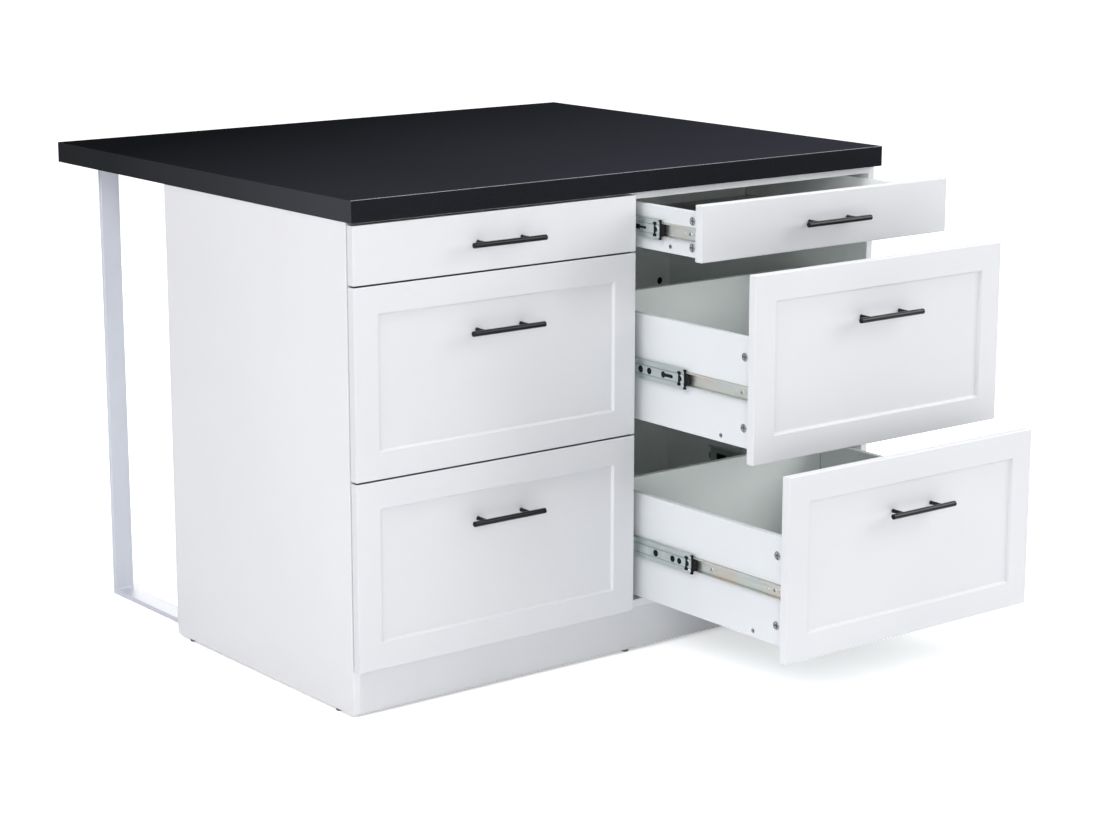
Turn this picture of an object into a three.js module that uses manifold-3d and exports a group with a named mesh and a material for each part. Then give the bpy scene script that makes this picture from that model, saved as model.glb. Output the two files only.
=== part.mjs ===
// Kitchen island: two columns of three drawers on ball-bearing runners, a worktop that overhangs
// the back as a seating edge, and two flat steel leg loops that carry the overhang.
// Millimetres. X runs to the right, Y to the back and Z up. While the pieces are made, the front
// edge of the carcass is y = 0 and the middle of the centre partition is x = 0. The last lines
// set the island's own origin: on the floor, under the middle of the stored pose.
import * as THREE from "three";
import { mergeVertices } from "three/addons/utils/BufferGeometryUtils.js";
import Module from "manifold-3d";

const wasm = await Module();
wasm.setup();

// Carcass
const boardThickness = 15; // side panels, partition, bottom, rails and plinth
const backThickness = 12;
const carcassDepth = 608;
const plinthHeight = 79.5;
const railDepth = 90;
const boardArris = 0.6;

// Worktop
const worktopThickness = 39;
const worktopSideOverhang = 1;
const worktopFrontOverhang = 20;
const worktopRearOverhang = 415;
const worktopArris = 1;

// Drawer fronts
const frontWidth = 615.5;
const lowerFrontHeight = 338;
const upperFrontHeight = 102.5;
const frontThickness = 18;
const frontEdgeRound = 1.5;
const frontGap = 3; // between neighbouring fronts
const frontSideReveal = 2; // from a carcass side to the edge of the front beside it
const frontTopGap = 4.5; // under the worktop
const frontBottomReveal = 1.5; // above the underside of the bottom panel
const bumperGap = 1; // between the carcass and the back of a closed front
const frameWidth = 48; // flat frame round the sunk panel of a lower front
const frameCove = 7;
const panelRecess = 4;

// Handles
const barDiameter = 10;
const barLength = 158;
const barChamfer = 0.8;
const postSpacing = 96;
const postDiameter = 7;
const handleProjection = 35;
const handleDrop = 101; // from the top edge of a lower front to the bar

// Drawer boxes
const boxBoard = 12;
const boxDepth = 520;
const lowerBoxHeight = 200;
const upperBoxHeight = 82;
const lowerBoxLift = 21.5; // from the front's lower edge to the box
const upperBoxLift = 3;

// Cam locks: 15 mm pockets that draw the boards together
const camDiameter = 15;
const camDepth = 8.5;
const camFromFront = 29; // on a drawer side, from the back of the front
const lowerCamInset = 36; // from the upper and lower edges of a drawer side
const upperCamInset = 17;
const backCamInset = 26; // on the back panel, from the side panels
const backCamDepth = 10;
const backCamPitch = 256;
const backCamRows = 4;

// Runners: three telescopic steel channels on each side of a drawer
const sheet = 1.2;
const sheetBend = 1.2;
const runnerGap = 12.7; // from a carcass board to the drawer side
const runnerLength = 450;
const runnerSetback = 3; // behind the front edge of the carcass
const outerHeight = 45;
const outerFlange = 9.6;
const outerLip = 2.6;
const middleHeight = 36.5;
const middleLength = 400;
const middleFlange = 10;
const middleLip = 1.6;
const middleStandoff = 2.2; // from the carcass board to the web of the middle channel
const bandHeight = 16; // pressed band along the middle channel's web
const bandPress = 0.6;
const innerHeight = 24;
const innerFlange = 7.5;
const grooveDepth = 0.9; // ball groove in a flange
const grooveWidth = 2.6;
const cageClearance = 0.3;
const cageWidth = 3;
const cageLength = 150;
const cageBite = 0.4; // how far a cage or a channel sits into the piece that carries it
const outerHoleDiameter = 6.4;
const middleHoleDiameter = 9.6;
const frontOuterHole = 37; // from the channel's front end, as are the next four
const rearOuterHole = 128;
const slotHole = 58;
const frontMiddleHole = 97;
const rearMiddleHole = 121;
const slotFrom = 34; // a keyhole slot runs from here to the slot's hole
const slotWidth = 5;

// Ball retainer: a plastic nose on the front end of each middle channel
const noseLength = 14;
const noseRoot = 6;
const noseClearance = 0.5;
const rimThickness = 3;
const clipFromEnd = 15;
const clipWidth = 3.5;
const clipHeight = 24;

// Leg loops under the overhang
const loopWidth = 40;
const loopThickness = 10;
const loopSideInset = 40; // from the carcass side to the loop
const loopGap = 10; // behind the carcass
const loopDepth = 320;
const loopArris = 0.8;

// Glides
const glideDiameter = 14;
const glideHeight = 5;
const glideChamfer = 1;
const glideRoot = 1;
const glideFromFront = 55;
const glideFromBack = 47;

// Stored pose: how far the right-hand drawers stand open
const bottomOpening = 416;
const middleOpening = 322;
const topOpening = 178;
const middleShare = 0.5; // a middle channel travels half as far as its drawer
const bottomSetback = 38; // where the middle channels rest when a drawer is closed
const upperSetback = 17;

// Places that follow from the sizes above
const plinthTop = glideHeight + plinthHeight;
const bottomTop = plinthTop + boardThickness;
const lowestFront = plinthTop + frontBottomReveal;
const middleFront = lowestFront + lowerFrontHeight + frontGap;
const highestFront = middleFront + lowerFrontHeight + frontGap;
const worktopUnderside = highestFront + upperFrontHeight + frontTopGap;
const carcassWidth = 2 * frontWidth + frontGap + 2 * frontSideReveal;
const bayWidth = (carcassWidth - 3 * boardThickness) / 2;
const bayCentre = (boardThickness + bayWidth) / 2;
const frontCentre = (frontGap + frontWidth) / 2;
const boxWidth = bayWidth - 2 * runnerGap;
const backFace = carcassDepth - backThickness;
const worktopBack = carcassDepth + worktopRearOverhang;
const rearGlide = carcassDepth - glideFromBack;
const frontFace = -bumperGap - frontThickness;

// The three drawers of a column
const rows = [
  {
    name: "bottom",
    base: lowestFront,
    frontHeight: lowerFrontHeight,
    boxHeight: lowerBoxHeight,
    boxLift: lowerBoxLift,
    camInset: lowerCamInset,
    handleHeight: lowerFrontHeight - handleDrop,
    panelled: true,
    opening: bottomOpening,
    middleSetback: bottomSetback,
  },
  {
    name: "middle",
    base: middleFront,
    frontHeight: lowerFrontHeight,
    boxHeight: lowerBoxHeight,
    boxLift: lowerBoxLift,
    camInset: lowerCamInset,
    handleHeight: lowerFrontHeight - handleDrop,
    panelled: true,
    opening: middleOpening,
    middleSetback: upperSetback,
  },
  {
    name: "top",
    base: highestFront,
    frontHeight: upperFrontHeight,
    boxHeight: upperBoxHeight,
    boxLift: upperBoxLift,
    camInset: upperCamInset,
    handleHeight: upperFrontHeight / 2,
    panelled: false,
    opening: topOpening,
    middleSetback: upperSetback,
  },
];
const columns = [
  { name: "left", side: -1, openShare: 0 },
  { name: "right", side: 1, openShare: 1 },
];

// Materials
const whiteBoard = () => new THREE.MeshStandardMaterial({ color: 0xe6e7eb, roughness: 0.42 });
const blackLaminate = () => new THREE.MeshStandardMaterial({ color: 0x242528, roughness: 0.5 });
const zincSteel = () =>
  new THREE.MeshStandardMaterial({ color: 0xbcc3c1, roughness: 0.32, metalness: 0.9 });
const blackMetal = () =>
  new THREE.MeshStandardMaterial({ color: 0x232427, roughness: 0.4, metalness: 0.5 });
const whitePaint = () => new THREE.MeshStandardMaterial({ color: 0xd3d7e0, roughness: 0.38 });
const greyPlastic = () => new THREE.MeshStandardMaterial({ color: 0x5c5e62, roughness: 0.6 });

// Turns a geometry that was extruded along Z so that it runs along the named axis.
// The change of axes is cyclic, so nothing is mirrored.
function runAlong(geometry, axis) {
  const turn = new THREE.Matrix4();
  if (axis === "x") turn.set(0, 0, 1, 0, 1, 0, 0, 0, 0, 1, 0, 0, 0, 0, 0, 1);
  if (axis === "y") turn.set(0, 1, 0, 0, 0, 0, 1, 0, 1, 0, 0, 0, 0, 0, 0, 1);
  return geometry.applyMatrix4(turn);
}

function solidOf(geometry) {
  const bare = geometry.clone();
  bare.deleteAttribute("normal");
  bare.deleteAttribute("uv");
  const merged = mergeVertices(bare, 1e-4);
  return new wasm.Manifold(
    new wasm.Mesh({
      numProp: 3,
      vertProperties: new Float32Array(merged.attributes.position.array),
      triVerts: new Uint32Array(merged.index.array),
    }),
  );
}

function geometryOf(solid) {
  const made = solid.getMesh();
  const geometry = new THREE.BufferGeometry();
  geometry.setAttribute("position", new THREE.BufferAttribute(made.vertProperties, 3));
  geometry.setIndex(new THREE.BufferAttribute(made.triVerts, 1));
  return geometry;
}

function meshOf(name, geometry, material, x, y, z) {
  const mesh = new THREE.Mesh(geometry, material);
  mesh.name = name;
  mesh.position.set(x, y, z);
  material.flatShading = true;
  return mesh;
}

function rectangle(width, height) {
  const shape = new THREE.Shape();
  shape.moveTo(-width / 2, -height / 2);
  shape.lineTo(width / 2, -height / 2);
  shape.lineTo(width / 2, height / 2);
  shape.lineTo(-width / 2, height / 2);
  shape.closePath();
  return shape;
}

// An outline through a thickness, centred on its origin, with the edges of both faces broken.
function brokenEdges(shape, thickness, edge, steps) {
  const geometry = new THREE.ExtrudeGeometry(shape, {
    depth: thickness - 2 * edge,
    bevelThickness: edge,
    bevelSize: edge,
    bevelOffset: -edge,
    bevelSegments: steps,
  });
  return geometry.translate(0, 0, edge - thickness / 2);
}

// A board that fills the box between two corners. Its faces lie across its thinnest direction.
function board(name, material, low, high, edge = boardArris) {
  const size = [0, 1, 2].map((i) => high[i] - low[i]);
  const thin = size.indexOf(Math.min(...size));
  const shape = rectangle(size[(thin + 1) % 3], size[(thin + 2) % 3]);
  const geometry = brokenEdges(shape, size[thin], edge, 1);
  runAlong(geometry, ["x", "y", "z"][thin]);
  const centre = [0, 1, 2].map((i) => (low[i] + high[i]) / 2);
  return meshOf(name, geometry, material, ...centre);
}

function block(low, high) {
  const size = [0, 1, 2].map((i) => Math.abs(high[i] - low[i]));
  const geometry = new THREE.BoxGeometry(...size);
  return solidOf(geometry.translate(...[0, 1, 2].map((i) => (low[i] + high[i]) / 2)));
}

// A round bar along X that cuts a hole centred at (y, z) between two places along X.
function drill(y, z, diameter, xFrom, xTo) {
  const radius = diameter / 2;
  const geometry = new THREE.CylinderGeometry(radius, radius, Math.abs(xTo - xFrom), 10);
  return solidOf(geometry.rotateZ(Math.PI / 2).translate((xFrom + xTo) / 2, y, z));
}

// A bent sheet as a closed outline: its centre line moved half the thickness to each side,
// mitred at the bends.
function bentSheet(centreLine, thickness) {
  const runs = centreLine.slice(1).map((point, i) => point.clone().sub(centreLine[i]).normalize());
  const offsets = centreLine.map((_, i) => {
    const before = runs[Math.max(i - 1, 0)];
    const after = runs[Math.min(i, runs.length - 1)];
    const mitre = new THREE.Vector2(-before.y - after.y, before.x + after.x);
    return mitre.multiplyScalar(thickness / mitre.lengthSq());
  });
  const one = centreLine.map((point, i) => point.clone().add(offsets[i]));
  const other = centreLine.map((point, i) => point.clone().sub(offsets[i]));
  return new THREE.Shape([...one, ...other.reverse()]);
}

// A runner channel from the upper half of its centre line, given as [distance from the carcass
// board, height]. hand is 1 on the left of a drawer and -1 on the right.
function channel(upperHalf, length, hand) {
  const upper = upperHalf.map(([out, up]) => new THREE.Vector2(up, hand * out));
  const lower = upper.map((point) => new THREE.Vector2(-point.x, point.y)).reverse();
  const shape = bentSheet([...lower, ...upper], sheet);
  const geometry = new THREE.ExtrudeGeometry(shape, { depth: length, bevelEnabled: false });
  return solidOf(runAlong(geometry, "y"));
}

// Ball groove across a flange at the given height, from near the web to near the flange's tip.
function groove(middle, height, towardsTip) {
  return [-1, 0, 1].map((step) => [
    middle + (towardsTip * step * grooveWidth) / 2,
    height - (step === 0 ? grooveDepth : 0),
  ]);
}

// Outer channel: screwed to the carcass, with lips that hold the balls.
function outerRunner(hand) {
  const up = (outerHeight - sheet) / 2;
  const web = sheet / 2;
  const tip = outerFlange - sheet / 2;
  const half = [
    [web, up - sheetBend],
    [web + sheetBend, up],
    [tip - sheetBend, up],
    [tip, up - sheetBend],
    [tip, up + sheet / 2 - outerLip],
  ];
  const through = 2 * sheet;
  const places = [frontOuterHole, rearOuterHole];
  const holes = places.map((y) => drill(y, 0, outerHoleDiameter, -through, through));
  return holes.reduce((solid, hole) => solid.subtract(hole), channel(half, runnerLength, hand));
}

// Middle channel: its web has a pressed band, its flanges have ball grooves, and the strips of its
// ball cages reach to the outer channel at its back and to the drawer's channel at its front.
function middleRunner(hand) {
  const up = (middleHeight - sheet) / 2;
  const web = middleStandoff + bandPress;
  const band = middleStandoff;
  const tip = middleFlange - sheet / 2;
  const grooveMiddle = (web + tip) / 2;
  const half = [
    [band, bandHeight / 2 - bandPress],
    [web, bandHeight / 2],
    [web, up - sheetBend],
    [web + sheetBend, up],
    ...groove(grooveMiddle, up, 1),
    [tip - sheetBend, up],
    [tip, up - sheetBend],
    [tip, up + sheet / 2 - middleLip],
  ];
  let solid = channel(half, middleLength, hand);

  const cageFrom = hand * (grooveMiddle - cageWidth / 2);
  const cageTo = hand * (grooveMiddle + cageWidth / 2);
  const outerReach = outerHeight / 2 - sheet - cageClearance;
  const innerReach = innerHeight / 2 + cageClearance;
  const backCage = [up - grooveDepth, outerReach];
  const frontCage = [innerReach, up - grooveDepth];
  for (const flip of [-1, 1]) {
    const [backLow, backHigh] = backCage.map((z) => flip * z).sort((a, b) => a - b);
    const backStart = middleLength - cageLength;
    solid = solid.add(block([cageFrom, backStart, backLow], [cageTo, middleLength, backHigh]));
    const [frontLow, frontHigh] = frontCage.map((z) => flip * z).sort((a, b) => a - b);
    solid = solid.add(block([cageFrom, 0, frontLow], [cageTo, cageLength, frontHigh]));
  }

  // Nose, rim and clip of the retainer, and the window that the clip shows through
  const webBack = hand * (web + sheet / 2 - cageBite);
  const plateFace = hand * (runnerGap - innerFlange - noseClearance);
  const noseFace = hand * (runnerGap - sheet - noseClearance);
  const noseHalf = innerHeight / 2 - sheet - grooveDepth - noseClearance;
  const rimHalf = middleHeight / 2;
  const windowFace = hand * (web - sheet);
  const windowEnd = clipFromEnd + clipWidth;
  solid = solid.subtract(
    block([windowFace, clipFromEnd, -clipHeight / 2], [plateFace, windowEnd, clipHeight / 2]),
  );
  const plateHalf = up - sheetBend;
  solid = solid.add(block([webBack, 0, -plateHalf], [plateFace, windowEnd + clipWidth, plateHalf]));
  solid = solid.add(block([hand * band, -rimThickness, -rimHalf], [plateFace, 0, rimHalf]));
  solid = solid.add(block([hand * band, -noseLength, -noseHalf], [noseFace, noseRoot, noseHalf]));

  const webFront = hand * (band - sheet);
  const slotHalf = slotWidth / 2;
  solid = solid.subtract(block([webFront, slotFrom, -slotHalf], [plateFace, slotHole, slotHalf]));
  for (const y of [slotHole, frontMiddleHole, rearMiddleHole]) {
    solid = solid.subtract(drill(y, 0, middleHoleDiameter, webFront, plateFace));
  }
  return solid;
}

// Drawer channel: screwed to the side of the box, open towards the carcass.
function innerRunner(hand) {
  const up = (innerHeight - sheet) / 2;
  const web = runnerGap + cageBite - sheet / 2;
  const tip = runnerGap - innerFlange;
  const half = [
    [web, up - sheetBend],
    [web - sheetBend, up],
    ...groove((web + tip) / 2, up, -1),
    [tip, up],
  ];
  return channel(half, runnerLength, hand);
}

// Drawer box: sides, back and bottom, open at the front and the top, with a runner channel and two
// cam pockets on each side. Its origin is the middle of the bay, at the front edge of the carcass
// and at the lower edge of the drawer's front.
function drawerBox(row) {
  const half = boxWidth / 2;
  const front = -bumperGap;
  const back = front + boxDepth;
  const low = row.boxLift;
  const high = row.boxLift + row.boxHeight;
  const hollow = block(
    [-half + boxBoard, front - boxBoard, low + boxBoard],
    [half - boxBoard, back - boxBoard, high + boxBoard],
  );
  let solid = block([-half, front, low], [half, back, high]).subtract(hollow);
  for (const hand of [1, -1]) {
    const middle = low + row.boxHeight / 2;
    solid = solid.add(innerRunner(hand).translate([(-hand * bayWidth) / 2, runnerSetback, middle]));
    for (const z of [low + row.camInset, high - row.camInset]) {
      const y = front + camFromFront;
      const face = -hand * half;
      solid = solid.subtract(drill(y, z, camDiameter, face - hand, face + hand * camDepth));
    }
  }
  return solid;
}

// Drawer front: a slab with rounded edges. A lower front has a sunk panel inside a flat frame, with
// a cove round it.
function drawerFront(row) {
  const slab = brokenEdges(rectangle(row.frontHeight, frontWidth), frontThickness, frontEdgeRound, 2);
  let solid = solidOf(runAlong(slab, "y"));
  if (row.panelled) {
    const rim = 2 * frameWidth;
    const pocket = new THREE.ExtrudeGeometry(rectangle(row.frontHeight - rim, frontWidth - rim), {
      depth: panelRecess,
      bevelThickness: panelRecess,
      bevelSize: frameCove,
      bevelOffset: -frameCove,
      bevelSegments: 3,
    });
    const face = -frontThickness / 2;
    solid = solid.subtract(solidOf(runAlong(pocket, "y").translate(0, face - panelRecess, 0)));
  }
  return solid.translate([0, frontFace + frontThickness / 2, row.frontHeight / 2]);
}

// Handle: a round bar with chamfered ends on two posts. Its origin is where it stands on the front.
function handle() {
  const radius = barDiameter / 2;
  const end = barLength / 2;
  const profile = [
    [0, -end],
    [radius - barChamfer, -end],
    [radius, barChamfer - end],
    [radius, end - barChamfer],
    [radius - barChamfer, end],
    [0, end],
  ].map(([r, along]) => new THREE.Vector2(r, along));
  const axis = radius - handleProjection;
  const bar = new THREE.LatheGeometry(profile, 16).rotateZ(Math.PI / 2).translate(0, axis, 0);
  let solid = solidOf(bar);
  for (const side of [-1, 1]) {
    const post = new THREE.CylinderGeometry(postDiameter / 2, postDiameter / 2, -axis, 12);
    solid = solid.add(solidOf(post.translate((side * postSpacing) / 2, axis / 2, 0)));
  }
  return solid;
}

// Round glide that stands on the floor. root is how far it goes into the board above it.
function glideGeometry(root = 0) {
  const radius = glideDiameter / 2;
  const profile = [
    [0, 0],
    [radius - glideChamfer, 0],
    [radius, glideChamfer],
    [radius, glideHeight + root],
    [0, glideHeight + root],
  ].map(([r, z]) => new THREE.Vector2(r, z));
  return new THREE.LatheGeometry(profile, 14).rotateX(Math.PI / 2);
}

// The back panel, with a column of cam pockets along each side.
function backPanel() {
  const width = carcassWidth - 2 * boardThickness;
  const height = worktopUnderside - glideHeight;
  const slab = brokenEdges(rectangle(height, width), backThickness, boardArris, 1);
  let solid = solidOf(runAlong(slab, "y"));
  for (const side of [-1, 1]) {
    for (let row = 0; row < backCamRows; row++) {
      const x = side * (width / 2 - backCamInset);
      const z = (row - (backCamRows - 1) / 2) * backCamPitch;
      const pocket = new THREE.CylinderGeometry(camDiameter / 2, camDiameter / 2, 2 * backCamDepth, 14);
      solid = solid.subtract(solidOf(pocket.translate(x, -backThickness / 2, z)));
    }
  }
  const z = glideHeight + height / 2;
  return meshOf("back_panel", geometryOf(solid), whiteBoard(), 0, backFace + backThickness / 2, z);
}

// A board on edge with one glide under it, y from the front edge of the carcass.
function boardOnGlide(name, low, high, y) {
  const mesh = board(name, whiteBoard(), low, high);
  const glide = glideGeometry(glideRoot).translate(0, y - mesh.position.y, -mesh.position.z);
  mesh.geometry = geometryOf(solidOf(mesh.geometry).add(solidOf(glide)));
  return mesh;
}

function carcass() {
  const group = new THREE.Group();
  const side = carcassWidth / 2;
  const inside = side - boardThickness;
  const foot = glideHeight;
  const post = boardThickness / 2;
  const panels = [
    ["left_side_panel", [-side, 0, foot], [-inside, carcassDepth, worktopUnderside]],
    ["right_side_panel", [inside, 0, foot], [side, carcassDepth, worktopUnderside]],
    ["centre_partition", [-post, 0, bottomTop], [post, backFace, worktopUnderside]],
    ["bottom_panel", [-inside, 0, plinthTop], [inside, backFace, bottomTop]],
  ];
  for (const [name, low, high] of panels) group.add(board(name, whiteBoard(), low, high));
  group.add(backPanel());
  const plinthEnds = [[-inside, 0, foot], [inside, boardThickness, plinthTop]];
  group.add(boardOnGlide("plinth", ...plinthEnds, boardThickness / 2));
  const floorBoardEnds = [[-post, boardThickness, foot], [post, backFace, plinthTop]];
  group.add(boardOnGlide("centre_floor_board", ...floorBoardEnds, rearGlide));
  for (const column of columns) {
    const near = column.side * post;
    const far = column.side * inside;
    const low = Math.min(near, far);
    const high = Math.max(near, far);
    const underside = worktopUnderside - boardThickness;
    const rails = [
      ["front", 0, railDepth],
      ["rear", backFace - railDepth, backFace],
    ];
    for (const [place, from, to] of rails) {
      const name = `${column.name}_${place}_rail`;
      group.add(board(name, whiteBoard(), [low, from, underside], [high, to, worktopUnderside]));
    }
    const glides = [
      ["front", glideFromFront],
      ["rear", rearGlide],
    ];
    for (const [place, y] of glides) {
      const name = `${column.name}_${place}_glide`;
      group.add(meshOf(name, glideGeometry(), greyPlastic(), column.side * (side - post), y, 0));
    }
  }
  return group;
}

function worktop() {
  const reach = carcassWidth / 2 + worktopSideOverhang;
  const low = [-reach, -worktopFrontOverhang, worktopUnderside];
  const high = [reach, worktopBack, worktopUnderside + worktopThickness];
  return board("worktop", blackLaminate(), low, high, worktopArris);
}

// Leg loop: flat bar bent into a closed rectangle, from the floor to the worktop.
function legLoop(column) {
  const outline = rectangle(loopDepth, worktopUnderside);
  const window = rectangle(loopDepth - 2 * loopThickness, worktopUnderside - 2 * loopThickness);
  outline.holes.push(window);
  const geometry = runAlong(brokenEdges(outline, loopWidth, loopArris, 1), "x");
  const x = column.side * (carcassWidth / 2 - loopSideInset - loopWidth / 2);
  const y = carcassDepth + loopGap + loopDepth / 2;
  return meshOf(`${column.name}_leg_loop`, geometry, whitePaint(), x, y, worktopUnderside / 2);
}

// Where a handle stands: on the sunk panel of a lower front, on the face of an upper one.
function handleSeat(row) {
  return row.panelled ? frontFace + panelRecess : frontFace;
}

// One drawer with its front, box and handle, slid out by its opening.
function drawer(column, row) {
  const group = new THREE.Group();
  group.position.set(column.side * bayCentre, -column.openShare * row.opening, row.base);
  const name = `${column.name}_${row.name}`;
  const shift = column.side * (frontCentre - bayCentre);
  const front = geometryOf(drawerFront(row));
  const box = geometryOf(drawerBox(row));
  const bar = geometryOf(handle());
  group.add(meshOf(`${name}_front`, front, whiteBoard(), shift, 0, 0));
  group.add(meshOf(`${name}_drawer_box`, box, whiteBoard(), 0, 0, 0));
  group.add(meshOf(`${name}_handle`, bar, blackMetal(), shift, handleSeat(row), row.handleHeight));
  return group;
}

// The carcass and middle channels of the runners of one drawer.
function runners(column, row) {
  const group = new THREE.Group();
  const travel = column.openShare * row.opening * middleShare;
  group.position.set(column.side * bayCentre, 0, row.base + row.boxLift + row.boxHeight / 2);
  for (const [place, hand] of [
    ["left", 1],
    ["right", -1],
  ]) {
    const name = `${column.name}_${row.name}`;
    const x = (-hand * bayWidth) / 2;
    const outer = geometryOf(outerRunner(hand));
    const middle = geometryOf(middleRunner(hand));
    const y = row.middleSetback - travel;
    group.add(meshOf(`${name}_outer_runner_${place}`, outer, zincSteel(), x, runnerSetback, 0));
    group.add(meshOf(`${name}_middle_runner_${place}`, middle, zincSteel(), x, y, 0));
  }
  return group;
}

const island = new THREE.Group();
island.add(carcass());
island.add(worktop());
for (const column of columns) {
  island.add(legLoop(column));
  for (const row of rows) {
    island.add(drawer(column, row));
    island.add(runners(column, row));
  }
}

// The stored pose reaches from the foremost handle to the back edge of the worktop.
const handleReaches = rows.map((row) => handleSeat(row) - handleProjection - row.opening);
island.position.y = -(Math.min(...handleReaches) + worktopBack) / 2;

export default island;
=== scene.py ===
import math

import bmesh
import bpy
import numpy as np
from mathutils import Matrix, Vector
from mathutils.geometry import tessellate_polygon


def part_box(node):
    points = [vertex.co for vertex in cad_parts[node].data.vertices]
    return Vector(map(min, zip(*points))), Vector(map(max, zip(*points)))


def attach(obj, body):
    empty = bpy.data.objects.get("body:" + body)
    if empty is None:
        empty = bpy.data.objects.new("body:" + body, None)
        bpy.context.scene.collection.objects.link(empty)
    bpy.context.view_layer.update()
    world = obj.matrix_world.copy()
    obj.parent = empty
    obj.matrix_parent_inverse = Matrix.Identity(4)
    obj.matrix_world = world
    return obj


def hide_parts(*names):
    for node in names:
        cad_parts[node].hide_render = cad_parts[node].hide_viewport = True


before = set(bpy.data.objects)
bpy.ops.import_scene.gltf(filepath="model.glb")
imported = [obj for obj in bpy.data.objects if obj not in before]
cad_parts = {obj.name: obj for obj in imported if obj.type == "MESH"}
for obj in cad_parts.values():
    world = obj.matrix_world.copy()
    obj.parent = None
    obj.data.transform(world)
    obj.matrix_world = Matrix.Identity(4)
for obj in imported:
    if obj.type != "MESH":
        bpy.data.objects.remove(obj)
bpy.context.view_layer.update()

columns = ("left", "right")
rowNames = ("bottom", "middle", "top")
drawers = [(column, row) for column in columns for row in rowNames]
hands = {"left": 1, "right": -1}


def cadRange(node):
    # lowest and highest corner of a CAD node, in millimetres
    low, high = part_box(node)
    return np.array(low) * 1000, np.array(high) * 1000


def shade(hexText):
    # a colour written as on screen, turned into light values
    parts = np.array([int(hexText[i : i + 2], 16) for i in (0, 2, 4)]) / 255
    return (*np.where(parts <= 0.04045, parts / 12.92, ((parts + 0.055) / 1.055) ** 2.4), 1.0)


# the camera stands off the front left corner and looks slightly down
view = {
    "place": (-3.0028, -3.9086, 1.5248),
    "turn": 37.824,  # degrees from straight ahead, towards +X
    "tilt": 12.691,  # degrees below the horizon
    "lens": 85.36,
}

cameraData = bpy.data.cameras.new("camera")
cameraData.lens = view["lens"]
cameraData.sensor_width = 36
camera = bpy.data.objects.new("camera", cameraData)
bpy.context.collection.objects.link(camera)
camera.location = view["place"]
camera.rotation_euler = (math.radians(90 - view["tilt"]), 0, math.radians(-view["turn"]))
bpy.context.scene.camera = camera
bpy.context.scene.view_settings.view_transform = "Standard"


def addNode(tree, kind, settings=None, **inputs):
    # inputs are given by name, or as i and their number, with a value or the socket that feeds them
    made = tree.nodes.new(kind)
    for key, value in (settings or {}).items():
        setattr(made, key, value)
    for key, value in inputs.items():
        socket = made.inputs[int(key[1:]) if key[1:].isdigit() else key.replace("_", " ")]
        if isinstance(value, bpy.types.NodeSocket):
            tree.links.new(value, socket)
        else:
            socket.default_value = value
    return made


def calculate(tree, operation, first, second=0.0, clamped=False):
    # one step of arithmetic on two numbers or sockets
    settings = {"operation": operation, "use_clamp": clamped}
    return addNode(tree, "ShaderNodeMath", settings, i0=first, i1=second).outputs[0]


def dotProduct(tree, first, second):
    # the products of the two vectors' parts, added up
    settings = {"operation": "DOT_PRODUCT"}
    return addNode(tree, "ShaderNodeVectorMath", settings, i0=first, i1=second).outputs["Value"]


studio = {
    "worldLight": 0.12,
    "floorTones": ("F4F5F7", "F2F3F5"),
    "floorLift": (0.42, 0.95),  # added for the camera only, near the object and far from it
    "floorReach": (1.2, 4.5),  # metres from the middle
    "floorHalf": 60.0,
    "lampSize": 2.6,
    "lamps": [  # degrees from the front towards the left side, degrees up, distance, watts
        (38, 9, 5.6, 108),
        (74, 44, 4.8, 134),
        (-50, 25, 4.6, 126),
        (0, 85, 4.0, 108),
        (-165, 22, 5.0, 80),
    ],
}

world = bpy.data.worlds.new("studio")
world.use_nodes = True
bpy.context.scene.world = world
tree = world.node_tree
tree.nodes.clear()
rays = addNode(tree, "ShaderNodeLightPath")
seen = calculate(tree, "MAXIMUM", rays.outputs["Is Camera Ray"], rays.outputs["Is Glossy Ray"])
seen = calculate(tree, "MAXIMUM", seen, rays.outputs["Is Transmission Ray"])
level = addNode(tree, "ShaderNodeMapRange", None, Value=seen, To_Min=studio["worldLight"], To_Max=1.0)
glow = addNode(tree, "ShaderNodeBackground", None, Color=(1, 1, 1, 1), Strength=level.outputs[0])
addNode(tree, "ShaderNodeOutputWorld", None, Surface=glow.outputs[0])

lampTarget = Vector((0, 0, 0.45))
for number, (aside, up, distance, watts) in enumerate(studio["lamps"]):
    lampData = bpy.data.lights.new(f"softbox{number}", "AREA")
    lampData.size = studio["lampSize"]
    lampData.energy = watts
    lamp = bpy.data.objects.new(f"softbox{number}", lampData)
    bpy.context.collection.objects.link(lamp)
    aside, up = math.radians(aside), math.radians(up)
    outward = Vector((-math.sin(aside) * math.cos(up), -math.cos(aside) * math.cos(up), math.sin(up)))
    lamp.location = lampTarget + outward * distance
    lamp.rotation_euler = (-outward).to_track_quat("-Z", "Y").to_euler()

print("camera and light ready")


def newGroup(name, inputs, outputs):
    # inputs give each number's starting value, and outputs each result's kind of socket
    group = bpy.data.node_groups.new(name, "ShaderNodeTree")
    for label, value in inputs.items():
        socket = group.interface.new_socket(name=label, in_out="INPUT", socket_type="NodeSocketFloat")
        socket.default_value = value
    for label, kind in outputs.items():
        group.interface.new_socket(name=label, in_out="OUTPUT", socket_type=f"NodeSocket{kind}")
    return group, group.nodes.new("NodeGroupInput").outputs, group.nodes.new("NodeGroupOutput").inputs


def noise(tree, where, size, detail):
    # smooth cloudy noise with size features to the metre
    return addNode(tree, "ShaderNodeTexNoise", None, Vector=where, Scale=size, Detail=detail).outputs[0]


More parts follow.
